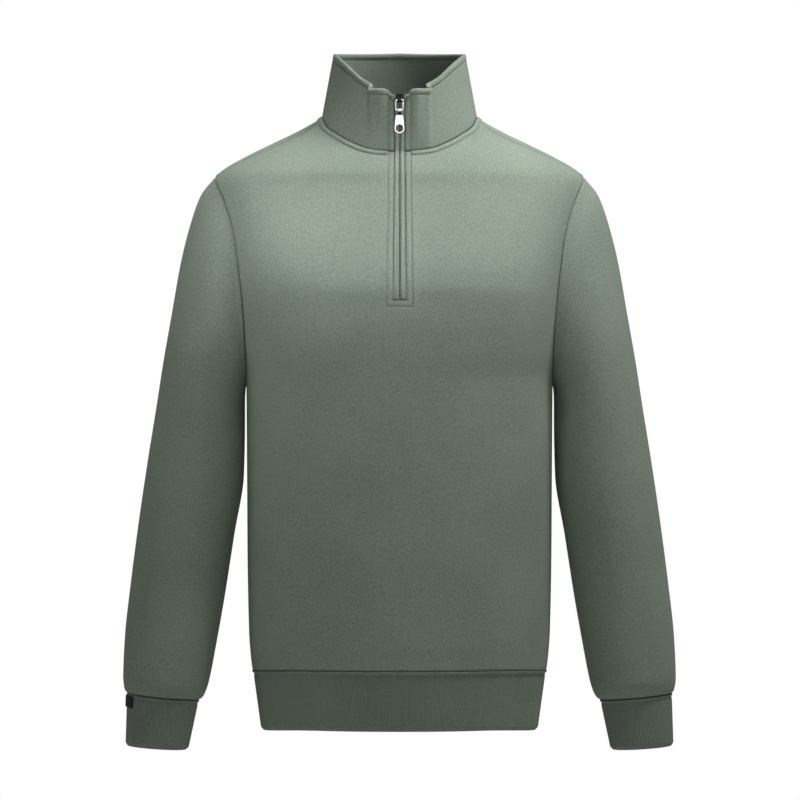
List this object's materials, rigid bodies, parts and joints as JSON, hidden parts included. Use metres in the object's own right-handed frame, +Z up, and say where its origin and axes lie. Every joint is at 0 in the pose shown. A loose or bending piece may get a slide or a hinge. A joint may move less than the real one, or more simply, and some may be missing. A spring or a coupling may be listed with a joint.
{
  "type": "quarter-zip pullover sweatshirt",
  "caption": "Hollow quarter-zip pullover sweatshirt, filled out as if worn: stand collar, rib cuffs and hem band, and a metal zip pull that swings.",
  "frame": {"origin": "midway between the two points where the shoulders meet the collar, where the wearer's shoulders and neck carry it", "axes": "+Z up, the front faces -Y, +X towards the wearer's left"},
  "size_m": [0.6346, 0.2455, 0.805],
  "materials": {
    "fleece": "sage green sweatshirt knit, matt, faintly fuzzy",
    "rib_knit": "sage green one-by-one rib, matt",
    "zip_tape": "woven tape and nylon coil in the cloth's colour",
    "slider_metal": "dark gunmetal",
    "pull_metal": "polished bright metal",
    "tab_weave": "black satin weave, blank"
  },
  "bodies": {
    "garment": {"front": "fleece", "back": "fleece", "sleeve_left": "fleece", "sleeve_right": "fleece", "collar": "fleece", "neck_band": "fleece", "cuff_left": "rib_knit", "cuff_right": "rib_knit", "hem_band": "rib_knit", "zip_tape_left": "zip_tape", "zip_tape_right": "zip_tape", "zip_slider": "slider_metal", "cuff_tab": "tab_weave"},
    "pull_link": {"zip_link": "pull_metal"},
    "pull_tag": {"zip_tag": "pull_metal"}
  },
  "joints": [
    {"name": "link_swing", "type": "hinge", "parent": "garment", "child": "pull_link", "pos_m": [0, -0.0786, 0.0148], "axis": [-1, 0, 0], "range_deg": [0, 150]},
    {"name": "tag_swing", "type": "hinge", "parent": "pull_link", "child": "pull_tag", "pos_m": [0, -0.0786, 0.0031], "axis": [-1, 0, 0], "range_deg": [0, 120]}
  ]
}
